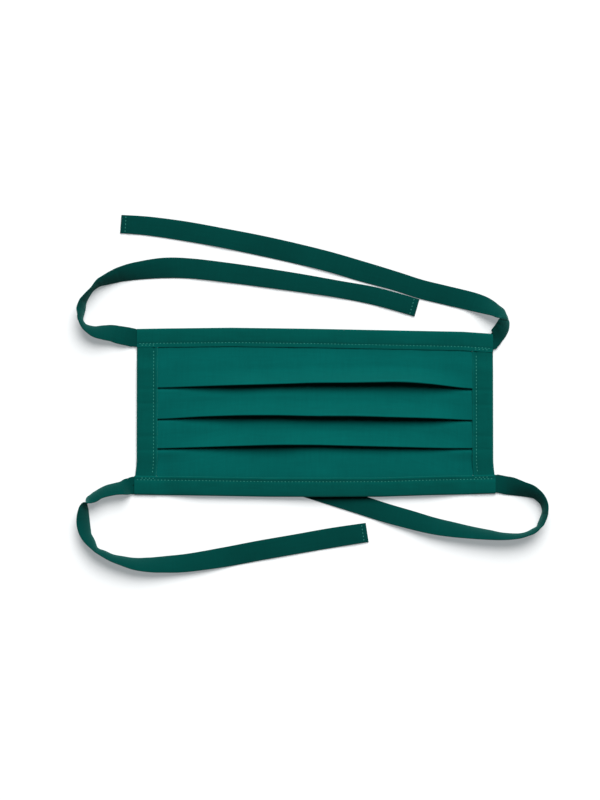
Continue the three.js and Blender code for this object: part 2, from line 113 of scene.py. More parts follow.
# ---- Tapes: x, y, roll in degrees, lift of the lower edge, width, turn of the width ----
TAPE_WIDTH = 10.4
ROOT_LIFT = 0.55
ROUTES = {
    "top_left": (
        (-86, 39.4, 0, ROOT_LIFT, 8), (-94.8, 39.6, 0, ROOT_LIFT, 8.6), (-97.4, 40.2, 1, 0.5, 10),
        (-100, 40.8, 6, 0.4, 10.2), (-102.8, 41.3, 13, 0.3), (-106, 41.9, 17, 0.1),
        (-109.4, 42.7, 25), (-113.7, 43, 36), (-119, 43.6, 54), (-124, 46.2, 78),
        (-126.1, 49.9, 84), (-126.1, 53.1, 75), (-125.9, 56.1, 66), (-124.8, 59.9, 72),
        (-122.1, 63.7, 79), (-119.7, 66.5, 82), (-116.3, 69.7, 72), (-112.5, 71.5, 61),
        (-107.8, 73.4, 50), (-103.9, 74.7, 42), (-95.4, 76.5, 25, 0, 10.3),
        (-81.3, 78.1, 13, 0, 11.2), (-66, 77.8, 2, 0, 11), (-44.5, 75.3, 0, 0, 10.8),
        (-25.1, 72.6, 0, 0, 10.5), (-5.7, 69.7, 0, 0, 10), (13.8, 66.5, 0, 0, 9.4),
        (34, 62.6, 0, 0, 9.8), (55.4, 56.5, 0, 0, 9.8),
    ),
    "top_right": (
        (86, 37.4, 0, ROOT_LIFT, 7), (95, 37.7, 0, ROOT_LIFT, 8), (96.8, 38.8, 2, 0.6, 8.6, -40),
        (98.3, 41.3, 14, 0.5, 9.4, -24), (100.3, 43.9, 32, 0.2, 10, -16),
        (101.6, 46.4, 42, 0, 10.2, -9),
        (102.1, 49.1, 52), (101.9, 51.3, 64), (100.3, 53.3, 50), (98.1, 54.7, 46), (95, 56.4, 34),
        (90.4, 58.3, 19), (82.9, 60.5, 4), (69.9, 63.6, 0), (57, 66.8, 0), (44, 71, 0),
        (26.7, 76, 0, 0, 11), (7.3, 81.7, 0, 0, 11), (-12.2, 86.5, 0, 0, 11),
        (-31.6, 90.8, 0, 0, 11), (-51, 94.7, 0, 0, 10.7), (-70.5, 98.2, 0, 0, 10.7),
        (-89.9, 100.9, 0, 0, 10.3), (-104.8, 102, 0, 0, 10),
    ),
    "bottom_left": (
        (-86, -38.7, 0, ROOT_LIFT, 8), (-96.4, -39, 0, ROOT_LIFT, 8.7),
        (-98.2, -39.6, 1, 0.5, 9.5), (-100.2, -40, 8, 0.5, 9), (-103.7, -40.9, 43, 0.3),
        (-107.3, -41.5, 50, 0.1), (-111.6, -42.5, 52), (-115.5, -44.1, 57), (-118.7, -46.1, 57),
        (-121.8, -47.9, 72), (-123.8, -50.6, 108), (-124.5, -54.3, 124), (-124.6, -58.8, 134),
        (-124.1, -62.6, 134), (-122.9, -66.6, 127), (-120.5, -70.2, 118), (-117.5, -74.2, 101),
        (-113.4, -76.4, 105), (-109, -78.6, 107), (-103.9, -80.1, 116), (-96.7, -81.8, 129),
        (-88.8, -82.3, 142), (-81.3, -82.1, 150), (-68.3, -81.2, 163), (-49, -78.2, 174, 0, 10.7),
        (-29.4, -74.5, 180, 0, 10.8), (-10, -71.1, 180, 0, 10.7), (9.5, -67.7, 180, 0, 10.8),
        (28.4, -64.8, 180, 0, 10.5),
    ),
    "bottom_right": (
        (86, -38, 0, ROOT_LIFT, 8), (95, -38, 0, ROOT_LIFT, 8.4), (97.8, -38.4, 0, 0.5, 9.8),
        (100.2, -38.8, 1, 0.4, 9.8), (103, -39.4, 8, 0.3, 9.9), (106.7, -40.1, 24, 0.1),
        (112, -41.5, 41), (116.4, -42.7, 49), (119.6, -44.4, 60), (121.7, -46.4, 64),
        (123.2, -48.6, 70), (124, -51.3, 74), (124, -54.3, 78), (123.2, -57, 76),
        (121.9, -60, 77), (120.3, -62.4, 82), (117.8, -64.2, 79), (114.5, -65.7, 80),
        (110.3, -66.8, 77), (104.8, -67.1, 71), (99.5, -66.9, 65), (94.8, -66.3, 58),
        (89.9, -65.7, 53), (84, -64.9, 47), (74.2, -63.3, 37), (63.4, -61.2, 27),
        (50.5, -57.7, 14), (38.1, -54.2, 3), (25.7, -50.2, 0), (13.8, -46.4, 0), (0.3, -42.2, 0),
        (-13.2, -38.1, 0), (-31, -32.7, 0),
    ),
}
STEPS_PER_ROW = 16
DROOP = 0.5  # turn in radians from the middle to the edge of a tape that stands on edge
RING = 28  # points round a tape's section
RING_POWER = 4.5  # how square that section is
TIP_SEAM = 2.7  # stitch line to a tape's square end
TIP_FOLD = 8  # how much of the end is turned in, which makes it thicker
UNEVEN_ROLL = 3.5  # degrees that a free tape's roll wanders by
HELD_ABOVE = -50  # the bottom right tape lies flat, and doesn't wander, above this height
HELD_BELOW = -56


def linear(code):
    """The linear colour of an sRGB hex code."""
    parts = [int(code[at:at + 2], 16) / 255 for at in (0, 2, 4)]
    return tuple(c / 12.92 if c <= 0.04045 else ((c + 0.055) / 1.055) ** 2.4 for c in parts)


class MaskSizes(bpy.types.PropertyGroup):
    """Sizes of the mask's cloth and thread."""
    cloth: FloatProperty(
        name="Cloth", description="Thickness of the panel's and bindings' cotton",
        default=0.0005, min=0.0002, max=0.001, unit="LENGTH")
    tape: FloatProperty(
        name="Tape", description="Thickness of a tie tape, folded and stitched",
        default=0.0009, min=0.0005, max=0.001, unit="LENGTH")
    dome: FloatProperty(
        name="Dome", description="How far the middle of the panel stands up",
        default=0.003, min=0.0, max=0.006, unit="LENGTH")
    arch: FloatProperty(
        name="Arch", description="How far the bottom band rides up over the tape under it",
        default=0.0019, min=0.001, max=0.003, unit="LENGTH")
    tilt: FloatProperty(
        name="Tilt", description="How far the bottom band's inner edge stands above its outer edge",
        default=0.0013, min=0.0, max=0.003, unit="LENGTH")
    pleat_opening: FloatProperty(
        name="Pleat opening", description="How far the pleats stand open, against their own tables",
        default=1.28, min=0.0, max=2.0, subtype="FACTOR")
    stitch_pitch: FloatProperty(
        name="Stitch pitch", description="Distance from one stitch to the next",
        default=0.00184, min=0.001, max=0.004, unit="LENGTH")
    stitch_length: FloatProperty(
        name="Stitch length", description="Visible length of one stitch",
        default=0.00095, min=0.0006, max=0.003, unit="LENGTH")
    thread: FloatProperty(
        name="Thread", description="Diameter of the sewing thread",
        default=0.0003, min=0.0001, max=0.0006, unit="LENGTH")


class MaskColours(bpy.types.PropertyGroup):
    """Colours of the mask's cloth and thread."""
    panel: FloatVectorProperty(
        name="Panel", description="Colour of the pleated panel's cotton",
        default=linear("004743"), size=3, min=0, max=1, subtype="COLOR")
    binding: FloatVectorProperty(
        name="Binding", description="Colour of the bands and hems",
        default=linear("00403B"), size=3, min=0, max=1, subtype="COLOR")
    tape: FloatVectorProperty(
        name="Tape", description="Colour of the tie tapes",
        default=linear("00322E"), size=3, min=0, max=1, subtype="COLOR")
    thread: FloatVectorProperty(
        name="Thread", description="Colour of the sewing thread",
        default=linear("3A897B"), size=3, min=0, max=1, subtype="COLOR")
    floor: FloatVectorProperty(
        name="Floor", description="Colour of the table under the mask",
        default=linear("B6B6B6"), size=3, min=0, max=1, subtype="COLOR")


class MaskStage(bpy.types.PropertyGroup):
    """Light and camera round the mask."""
    key: FloatProperty(
        name="Key", description="Strength of the broad light from beyond the top edge",
        default=6.2, min=0.0, max=20.0, subtype="NONE")
    key_elevation: FloatProperty(
        name="Key elevation", description="Height of that light above the horizon",
        default=math.radians(52), min=0.2, max=1.5, unit="ROTATION")
    key_turn: FloatProperty(
        name="Key turn", description="Turn of that light from the top edge to the right",
        default=math.radians(14), min=-1.5, max=1.5, unit="ROTATION")
    key_softness: FloatProperty(
        name="Key softness", description="How wide that light looks from the mask",
        default=math.radians(46), min=0.0, max=1.5, unit="ROTATION")
    fill: FloatProperty(
        name="Fill", description="Strength of the even light from all round",
        default=0.06, min=0.0, max=1.0, subtype="FACTOR")
    lens: FloatProperty(
        name="Lens", description="Focal length of the camera",
        default=200, min=20, max=300, unit="CAMERA")
    distance: FloatProperty(
        name="Distance", description="Distance of the camera from the mask",
        default=2.4, min=0.5, max=10, unit="LENGTH")
    camera_elevation: FloatProperty(
        name="Camera elevation", description="Height of the camera above the horizon",
        default=math.radians(87), min=0.1, max=1.57, unit="ROTATION")


# ---- Small tools ----

def ease(value, start, end):
    """0 before start, 1 after end, and an even S curve between them."""
    t = np.clip((value - start) / (end - start), 0, 1)
    return t * t * (3 - 2 * t)


def edge_at(rows, x):
    """The height of an edge table at x, joined by straight lines."""
    return np.interp(x, [row[0] for row in rows], [row[1] for row in rows])


def table_at(rows, column, x):
    """A column of a table at each x, joined by straight lines and then smoothed."""
    places = [row[0] for row in rows]
    values = [row[column] for row in rows]
    spread = np.linspace(-BLEND, BLEND, 9)
    return np.mean([np.interp(x + shift, places, values) for shift in spread], axis=0)


def ripple(places, size, seed):
    """Smooth noise from -1 to 1 at each row of places, with bumps about size apart."""
    flat = places.reshape(-1, places.shape[-1]) / size
    values = [noise.noise(Vector((p[0], p[1], 7.3 * seed))) for p in flat]
    return 1.6 * np.array(values).reshape(places.shape[:-1])


def only(obj):
    """Makes an object the only one selected, and the active one."""
    bpy.ops.object.select_all(action="DESELECT")
    obj.select_set(True)
    bpy.context.view_layer.objects.active = obj


def new_piece(name, points, faces, across, along, highlight_mask, material):
    """A mesh object from points in millimetres, with a map of its cloth and a mask of its painted
    highlights.
    """
    mesh = bpy.data.meshes.new(name)
    mesh.from_pydata((points * MM).tolist(), [], faces)
    index = np.empty(len(mesh.loops), np.int32)
    mesh.loops.foreach_get("vertex_index", index)
    chart = mesh.uv_layers.new(name="cloth")
    chart.data.foreach_set("uv", (np.stack([across, along], 1)[index] * MM).ravel())
    # The painted highlight mask: 1 where a folded edge is painted lighter, as if catching the light.
    painted_highlight = mesh.attributes.new("painted_highlight", "FLOAT", "POINT")
    painted_highlight.data.foreach_set("value", highlight_mask.astype(np.float32))
    mesh.materials.append(material)
    obj = bpy.data.objects.new(name, mesh)
    bpy.context.scene.collection.objects.link(obj)
    return obj


def lengths(grid, axis):
    """The distance run along one direction of a grid, at each of its points."""
    steps = np.linalg.norm(np.diff(grid, axis=axis), axis=2)
    start = np.zeros_like(np.take(steps, [0], axis=axis))
    return np.cumsum(np.concatenate([start, steps], axis=axis), axis=axis)


def cloth_sheet(name, grid, highlight_mask, thickness, material):
    """A sheet of cloth on both sides of a grid of middle points, as one closed wall."""
    rows, columns = grid.shape[:2]
    faces = []
    for row in range(rows - 1):
        for column in range(columns - 1):
            corner = row * columns + column
            faces.append((corner, corner + columns, corner + columns + 1, corner + 1))
    obj = new_piece(
        name, grid.reshape(-1, 3), faces, lengths(grid, 0).ravel(), lengths(grid, 1).ravel(),
        highlight_mask.ravel(), material)
    only(obj)
    wall = obj.modifiers.new("wall", "SOLIDIFY")
    wall.thickness = thickness
    wall.offset = 0
    bpy.ops.object.modifier_apply(modifier=wall.name)
    bpy.ops.object.shade_smooth_by_angle(angle=math.radians(50))
    return obj


def columns_between(half):
    """Even places from -half to half, about COLUMN apart."""
    return np.linspace(-half, half, 2 * round(half / COLUMN) + 1)


def half_turn(centre, height, radius, start, turn, steps=6):
    """Points of a half circle in a section, from start degrees, turning by turn degrees."""
    angles = np.radians(start + turn * np.arange(steps + 1) / steps)
    return [(centre + radius * math.cos(a), height + radius * math.sin(a)) for a in angles]


# ---- Heights of the layers ----

class Layers:
    """Middle heights of the cloths, from the thickness of the cloth and the tape."""

    def __init__(self, sizes):
        self.wall = sizes.cloth / MM
        self.tape = sizes.tape / MM
        self.step = self.wall + AIR
        self.back = FLOOR_GAP + self.wall / 2
        self.slot = self.back + self.step
        self.front = self.slot + self.step
        self.tape_slot = self.back + (self.wall + AIR + self.tape) / 2
        self.tape_front = self.tape_slot + (self.wall + AIR + self.tape) / 2
        self.arch = sizes.arch / MM
        self.tilt = sizes.tilt / MM
        self.dome = sizes.dome / MM
        self.opening = sizes.pleat_opening

    def arch_at(self, x):
        """How far the bottom band is lifted at x, most where it rides over the tape."""
        over_tape = 1 + TAPE_PUSH * np.exp(-((x - TAPE_CROSSES) / TAPE_SPREAD) ** 2)
        return self.arch * over_tape * (1 - ease(np.abs(x), ARCH_FLAT, ARCH_END))

    def tilt_at(self, x, inset):
        """How far the bottom band's tilt lifts it, this far in from its outer edge."""
        return self.tilt * (1 - ease(np.abs(x), 72, 82)) * np.clip(inset / BAND_WIDTH, 0, 1)

    def panel_lift(self, x, y):
        """How far the panel is lifted: its dome, and the arch near its lower edge."""
        below_top = ease(edge_at(TOP_EDGE, x) - BAND_WIDTH - y, 0, 30)
        inset = y - edge_at(BOTTOM_EDGE, x)
        above_bottom = ease(inset - BAND_WIDTH, 0, 24)
        across = 1 - ease(np.abs(x), 14, 84)
        edge = self.arch_at(x) + self.tilt_at(x, inset)
        return self.dome * across * below_top * above_bottom + edge * (1 - above_bottom)


def side_edge(y):
    """Distance from the middle to the side edge at height y."""
    return BODY_HALF + FLARE * ease(-y, FLARE_FROM, FLARE_FROM + FLARE_LENGTH)


def stretched(x):
    """Moves the right end outwards: the body is a little longer on that side."""
    return x + RIGHT_STRETCH * ease(x, STRETCH_FROM, STRETCH_TO)


# ---- Materials ----

FLOOR_GLOW = 0.32


def add(tree, kind, inputs=(), **settings):
    """Adds a node with its settings. An input is a value, or the socket that it comes from."""
    node = tree.nodes.new(kind)
    for name, value in settings.items():
        setattr(node, name, value)
    for socket, value in dict(inputs).items():
        if isinstance(value, bpy.types.NodeSocket):
            tree.links.new(value, node.inputs[socket])
        else:
            node.inputs[socket].default_value = value
    return node


def new_material(name):
    """A material with no nodes yet, and its node tree."""
    material = bpy.data.materials.new(name)
    material.use_nodes = True
    material.node_tree.nodes.clear()
    return material, material.node_tree


# Plain-woven cotton is about 0.3 mm from thread to thread. That is too fine to show, so it is
# drawn at 0.45 mm.
THREAD_SPACING = 0.00045
WAVE_PERIOD = 0.314159  # scale at which a wave texture repeats once per unit


def dyed_cotton(name, colour, relief):
    """Dyed plain-woven cotton, matt all over.

    The weave breaks the light into fine grain, uneven yarn gives it faint streaks along both
    directions of the cloth, and the dye is a little cloudy. Folded edges carry a painted highlight,
    up to a quarter lighter, as where they catch the light. The fuzz of the yarn catches light
    where the cloth is seen aslant.
    """
    material, tree = new_material(name)
    chart = add(tree, "ShaderNodeUVMap", uv_map="cloth")
    threads = add(tree, "ShaderNodeMapping", {
        "Vector": chart.outputs["UV"], "Scale": (1 / THREAD_SPACING, 1 / THREAD_SPACING, 1)})
    over = add(tree, "ShaderNodeTexChecker", {"Vector": threads.outputs[0], "Scale": 1.0})
    warp = add(tree, "ShaderNodeTexWave", {
        "Vector": threads.outputs[0], "Scale": WAVE_PERIOD}, bands_direction="X")
    weft = add(tree, "ShaderNodeTexWave", {
        "Vector": threads.outputs[0], "Scale": WAVE_PERIOD}, bands_direction="Y")
    weave = add(tree, "ShaderNodeMix", {
        "Factor": over.outputs["Fac"], "A": warp.outputs["Fac"], "B": weft.outputs["Fac"]})
    bump = add(tree, "ShaderNodeBump", {
        "Height": weave.outputs["Result"], "Strength": relief, "Distance": 0.0001})

    # Uneven yarn: streaks about 1 mm wide and 12 mm long, along each direction of the cloth.
    streaks = []
    for scale in ((900, 80, 1), (80, 900, 1)):
        along_yarn = add(tree, "ShaderNodeMapping", {
            "Vector": chart.outputs["UV"], "Scale": scale})
        streaks.append(add(tree, "ShaderNodeTexNoise", {
            "Vector": along_yarn.outputs[0], "Scale": 1.0, "Detail": 2.0}))
    yarn = add(tree, "ShaderNodeMath", {
        0: streaks[0].outputs["Fac"], 1: streaks[1].outputs["Fac"]}, operation="ADD")
    yarn_value = add(tree, "ShaderNodeMapRange", {
        "Value": yarn.outputs[0], "From Min": 0.6, "From Max": 1.4, "To Min": 0.93,
        "To Max": 1.07})
    # Cloudy dye: patches about 30 mm across.
    cloud = add(tree, "ShaderNodeTexNoise", {
        "Vector": chart.outputs["UV"], "Scale": 35.0, "Detail": 3.0})
    cloud_value = add(tree, "ShaderNodeMapRange", {
        "Value": cloud.outputs["Fac"], "From Min": 0.3, "From Max": 0.7, "To Min": 0.95,
        "To Max": 1.05})
    # Painted highlight: folded edges and tape edges are made up to a quarter lighter, as where they
    # catch the light.
    painted_highlight = add(tree, "ShaderNodeAttribute", attribute_name="painted_highlight")
    highlight_value = add(tree, "ShaderNodeMapRange", {"Value": painted_highlight.outputs["Fac"], "To Min": 1.0,
                                                  "To Max": 1.25})
    dyed = add(tree, "ShaderNodeMath", {
        0: yarn_value.outputs[0], 1: cloud_value.outputs[0]}, operation="MULTIPLY")
    value = add(tree, "ShaderNodeMath", {
        0: dyed.outputs[0], 1: highlight_value.outputs[0]}, operation="MULTIPLY")
    tint = add(tree, "ShaderNodeHueSaturation", {
        "Color": (*colour, 1), "Value": value.outputs[0]})
    shader = add(tree, "ShaderNodeBsdfPrincipled", {
        "Base Color": tint.outputs[0], "Roughness": 0.92, "IOR": 1.5, "Specular IOR Level": 0.02,
        "Sheen Weight": 0.15, "Sheen Roughness": 0.5, "Sheen Tint": (0.25, 0.85, 0.75, 1),
        "Normal": bump.outputs[0]})
    add(tree, "ShaderNodeOutputMaterial", {"Surface": shader.outputs[0]})
    return material


def sewing_thread(name, colour):
    """Spun polyester sewing thread: two plies twisted together, a little glossier than cotton."""
    material, tree = new_material(name)
    place = add(tree, "ShaderNodeTexCoord")
    # The twist of the plies is about 0.6 mm long, seen as slanting bands.
    twist = add(tree, "ShaderNodeTexWave", {
        "Vector": place.outputs["Object"], "Scale": 500.0}, bands_direction="DIAGONAL")
    value = add(tree, "ShaderNodeMapRange", {
        "Value": twist.outputs["Fac"], "To Min": 0.8, "To Max": 1.1})
    tint = add(tree, "ShaderNodeHueSaturation", {
        "Color": (*colour, 1), "Value": value.outputs[0]})
    bump = add(tree, "ShaderNodeBump", {
        "Height": twist.outputs["Fac"], "Strength": 0.4, "Distance": 0.00005})
    shader = add(tree, "ShaderNodeBsdfPrincipled", {
        "Base Color": tint.outputs[0], "Roughness": 0.7, "IOR": 1.57, "Specular IOR Level": 0.05,
        "Normal": bump.outputs[0]})
    add(tree, "ShaderNodeOutputMaterial", {"Surface": shader.outputs[0]})
    return material


def painted_board(name, colour):
    """Matt white painted board: no shine, and a grain only felt as a slight softness.

    It glows faintly, so that shadows on it stay pale, as they do under a large bright room.
    """
    material, tree = new_material(name)
    place = add(tree, "ShaderNodeTexCoord")
    grain = add(tree, "ShaderNodeTexNoise", {
        "Vector": place.outputs["Object"], "Scale": 600.0, "Detail": 2.0})
    bump = add(tree, "ShaderNodeBump", {
        "Height": grain.outputs["Fac"], "Strength": 0.05, "Distance": 0.0001})
    shader = add(tree, "ShaderNodeBsdfPrincipled", {
        "Base Color": (*colour, 1), "Roughness": 0.95, "Specular IOR Level": 0.1,
        "Normal": bump.outputs[0], "Emission Color": (0.9, 0.97, 1, 1), "Emission Strength": FLOOR_GLOW})
    add(tree, "ShaderNodeOutputMaterial", {"Surface": shader.outputs[0]})
    return material


def shared(name, make, *values):
    """The material of that name, made the first time it is asked for."""
    return bpy.data.materials.get(name) or make(name, *values)


def binding_cotton(scene):
    """The bands' and hems' cloth."""
    return shared("dyed cotton bias binding", dyed_cotton, scene.mask_colours.binding, 0.35)


# ---- Stitches ----

def one_stitch(sizes):
    """One stitch along X: a short thread whose ends narrow and dive into the cloth."""
    radius = sizes.thread / 2
    middle = sizes.stitch_length * 0.5
    tail = sizes.stitch_length * 0.25
    bpy.ops.object.select_all(action="DESELECT")
    bpy.ops.mesh.primitive_cylinder_add(
        vertices=8, radius=radius, depth=middle, rotation=(0, math.pi / 2, 0))
    stitch = bpy.context.object
    bpy.ops.object.transform_apply(location=True, rotation=True, scale=True)
    bpy.ops.object.mode_set(mode="EDIT")
    for side in (-1, 1):
        bpy.ops.mesh.select_all(action="DESELECT")
        mesh = bmesh.from_edit_mesh(stitch.data)
        for face in mesh.faces:
            face.select = face.normal.x * side > 0.9
        bmesh.update_edit_mesh(stitch.data)
        bpy.ops.mesh.extrude_region_move(
            TRANSFORM_OT_translate={"value": (side * tail, 0, -1.6 * radius)})
        bpy.ops.transform.resize(
            value=(1, 0.5, 0.5), center_override=(side * (middle / 2 + tail), 0, -1.6 * radius))
    bpy.ops.object.mode_set(mode="OBJECT")
    shape = stitch.data
    bpy.data.objects.remove(stitch)
    return shape


def spaced(line, pitch):
    """Points along a line of (x, y), pitch apart, each with the line's direction there."""
    line = np.array(line, float)
    run = np.concatenate([[0], np.cumsum(np.linalg.norm(np.diff(line, axis=0), axis=1))])
    count = max(int(run[-1] / pitch), 1)
    places = (np.arange(count) + 0.5) * run[-1] / count
    points = np.stack([np.interp(places, run, line[:, axis]) for axis in (0, 1)], 1)
    ahead = np.stack([np.interp(places + 0.2, run, line[:, axis]) for axis in (0, 1)], 1)
    behind = np.stack([np.interp(places - 0.2, run, line[:, axis]) for axis in (0, 1)], 1)
    return points, ahead - behind


def seam(name, lines, cloth, scene, proud=0.15):
    """Stitches along lines of (x, y) on the upper side of a piece, as one mesh.

    Each stands proud of the cloth by that share of its own thickness, and the rest is sunk in.
    """
    sizes = scene.mask_sizes
    shape = one_stitch(sizes)
    surface = BVHTree.FromObject(cloth, bpy.context.evaluated_depsgraph_get())
    joined = bmesh.new()
    for line in lines:
        for (x, y), (dx, dy) in zip(*spaced(line, sizes.stitch_pitch / MM)):
            hit, normal, _, _ = surface.ray_cast(Vector((x * MM, y * MM, 0.05)), Vector((0, 0, -1)))
            if hit is None:
                raise RuntimeError(f"{name}: no cloth under the seam at {x:.1f}, {y:.1f}")
            up = normal if normal.z > 0 else -normal
            side = up.cross(Vector((dx, dy, 0))).normalized()
            ahead = side.cross(up)
            place = Matrix((ahead, side, up)).transposed().to_4x4()
            place.translation = hit + up * sizes.thread * proud
            copy = shape.copy()
            copy.transform(place)
            joined.from_mesh(copy)
            bpy.data.meshes.remove(copy)
    mesh = bpy.data.meshes.new(name)
    joined.to_mesh(mesh)
    joined.free()
    bpy.data.meshes.remove(shape)
    mesh.materials.append(shared(
        "spun polyester sewing thread", sewing_thread, scene.mask_colours.thread))
    obj = bpy.data.objects.new(name, mesh)
    bpy.context.scene.collection.objects.link(obj)
    only(obj)
    bpy.ops.object.shade_smooth()
    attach(obj, "root")
    return obj


# ---- Tapes ----

def route_steps(rows):
    """A route's rows with smooth steps between them, as columns x, y, roll, lift, width, turn."""
    plain = (0, 0, 0, 0, TAPE_WIDTH, 0)
    full = np.array([(*row, *plain[len(row):]) for row in rows], float)
    padded = np.concatenate([full[:1], full, full[-1:]])
    before, near, far, after = padded[:-3], padded[1:-2], padded[2:-1], padded[3:]
    steps = []
    for step in range(STEPS_PER_ROW):
        t = step / STEPS_PER_ROW
        square = 2 * before - 5 * near + 4 * far - after
        cubic = -before + 3 * near - 3 * far + after
        steps.append(near + 0.5 * t * (far - before + t * (square + t * cubic)))
    return np.concatenate([np.stack(steps, 1).reshape(-1, full.shape[1]), full[-1:]])


def tape_rings(rows, seed, held):
    """A tape's rings: plan places and width directions, roll, lift, width, distance and bend.

    held is true for the tape that the mask lies on.
    """
    x, y, roll, lift, width, turn = route_steps(rows).T
    plan = np.stack([x, y], 1)
    run = np.concatenate([[0], np.cumsum(np.linalg.norm(np.diff(plan, axis=0), axis=1))])
    free = ease(run, 14, 24) * (1 - ease(y, HELD_BELOW, HELD_ABOVE) * held)
    roll = np.radians(roll + UNEVEN_ROLL * free * ripple(np.stack([run, 0 * run], 1), 22, seed))
    ahead = np.gradient(plan, axis=0)
    ahead /= np.linalg.norm(ahead, axis=1)[:, None]
    angle = np.radians(turn)
    across = np.stack([
        -ahead[:, 1] * np.cos(angle) - ahead[:, 0] * np.sin(angle),
        ahead[:, 0] * np.cos(angle) - ahead[:, 1] * np.sin(angle)], 1)
    bend = np.linalg.norm(np.gradient(ahead, axis=0), axis=1) / np.maximum(
        np.linalg.norm(np.gradient(plan, axis=0), axis=1), 1e-6)
    return plan, across, roll, np.maximum(lift, 0), width, run, bend * free


def tape(name, rows, layers, seed, held, material):
    """A folded and stitched tape along its route: its object and the line that it follows.

    Where it stands on its edge, its upper edge droops to the side that it leans to.
    """
    plan, across, roll, lift, width, run, bend = tape_rings(rows, seed, held)
    angle = np.arange(RING) * 2 * math.pi / RING
    sides = np.sign(np.cos(angle)) * np.abs(np.cos(angle)) ** (2 / RING_POWER)
    faces = np.sign(np.sin(angle)) * np.abs(np.sin(angle)) ** (2 / RING_POWER)
    crown = 1 + 0.12 * (1 - sides ** 2) - 0.3 * np.exp(-((sides - 0.76) / 0.07) ** 2)
    to_tip = run[-1] - run
    thick = 1 + 0.12 * (1 - ease(to_tip, TIP_FOLD - 1, TIP_FOLD))
    thick -= 0.4 * np.exp(-((to_tip - TIP_SEAM) / 0.5) ** 2)
    thick *= 0.35 + 0.65 * ease(to_tip, -0.3, 0.6)
    creases = 0.07 + 0.45 * np.clip(9 * bend - 0.35, 0, 1)
    places = np.stack(np.broadcast_arrays(
        run[:, None], (width / 2)[:, None] * sides + 0.6 * run[:, None]), 2)
    waves = ripple(places, 4.5, seed + 10) * creases[:, None]
    height = layers.tape / 2 * faces * crown * thick[:, None] + waves * (1 - 0.5 * sides ** 2)

    droop = 0.02 + DROOP * np.abs(np.sin(roll))
    droop = (droop * np.tanh(5 * np.cos(roll)))[:, None]
    droop = np.where(np.abs(droop) < 0.001, 0.001, droop)
    middle = roll[:, None]
    turned = middle - droop * sides
    half = (width / 2)[:, None]
    out = half * (np.sin(middle) - np.sin(turned)) / droop - height * np.sin(turned)
    up = half * (np.cos(turned) - np.cos(middle)) / droop + height * np.cos(turned)
    out -= (out.max(axis=1, keepdims=True) + out.min(axis=1, keepdims=True)) / 2
    raised = FLOOR_GAP + lift - up.min(axis=1)
    points = np.concatenate([
        plan[:, None] + across[:, None] * out[..., None], (up + raised[:, None])[..., None]], 2)
    centre = np.column_stack([plan, raised])
    across = np.column_stack([across * np.cos(roll)[:, None], np.sin(roll)])
    rings = len(points)
    quads = []
    for ring in range(rings - 1):
        for point in range(RING):
            beside = (point + 1) % RING
            quads.append((
                ring * RING + point, (ring + 1) * RING + point,
                (ring + 1) * RING + beside, ring * RING + beside))
    quads.append(tuple(range(RING)))
    quads.append(tuple(reversed(range((rings - 1) * RING, rings * RING))))
    around = np.broadcast_to(sides * TAPE_WIDTH / 2, (rings, RING))
    along = np.broadcast_to(run[:, None], (rings, RING))
    # Painted highlight along the tape's two long edges, as where they catch the light.
    highlight_mask = np.broadcast_to(ease(np.abs(sides), 0.93, 1.0), (rings, RING))
    obj = new_piece(
        name, points.reshape(-1, 3), quads, around.ravel(), along.ravel(), highlight_mask.ravel(), material)
    only(obj)
    bpy.ops.object.mode_set(mode="EDIT")
    bpy.ops.mesh.select_all(action="SELECT")
    bpy.ops.mesh.normals_make_consistent(inside=False)
    bpy.ops.object.mode_set(mode="OBJECT")
    bpy.ops.object.shade_smooth_by_angle(angle=math.radians(60))
    return obj, centre, across


# ---- Operators ----

CAMERA_TARGET = (-0.00783, 0.0067, 0)  # the point on the table that the camera looks at


class MASK_OT_camera(bpy.types.Operator):
    """Sets the camera almost straight above the mask"""
    bl_idname = "mask.camera"
    bl_label = "Camera"

    def execute(self, context):
        stage = context.scene.mask_stage
        camera = bpy.data.cameras.new("camera")
        camera.lens = stage.lens
        camera.sensor_width = 36
        obj = bpy.data.objects.new("camera", camera)
        context.scene.collection.objects.link(obj)
        target = Vector(CAMERA_TARGET)
        away = Vector((0, -math.cos(stage.camera_elevation), math.sin(stage.camera_elevation)))
        obj.location = target + stage.distance * away
        obj.rotation_euler = away.to_track_quat("Z", "Y").to_euler()
        context.scene.camera = obj
        return {"FINISHED"}


class MASK_OT_ties(bpy.types.Operator):
    """Makes the four tie tapes and the seams across their ends"""
    bl_idname = "mask.ties"
    bl_label = "Tie tapes"

    def execute(self, context):
        scene = context.scene
        layers = Layers(scene.mask_sizes)
        material = shared("dyed cotton tape", dyed_cotton, scene.mask_colours.tape, 0.35)
        for seed, (place, rows) in enumerate(ROUTES.items(), 1):
            obj, centre, across = tape(
                "tape_" + place, rows, layers, seed, place == "bottom_right", material)
            left = np.linalg.norm(centre[-1] - centre, axis=1)
            at = int(np.argmin(np.abs(left - TIP_SEAM)))
            reach = across[at] * (TAPE_WIDTH / 2 - 0.5)
            ends = [(centre[at] - reach)[:2], (centre[at] + reach)[:2]]
            tip = seam("stitches_tip_" + place, [ends], obj, scene)
            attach(obj, "root")
            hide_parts("tie_" + place)
        return {"FINISHED"}


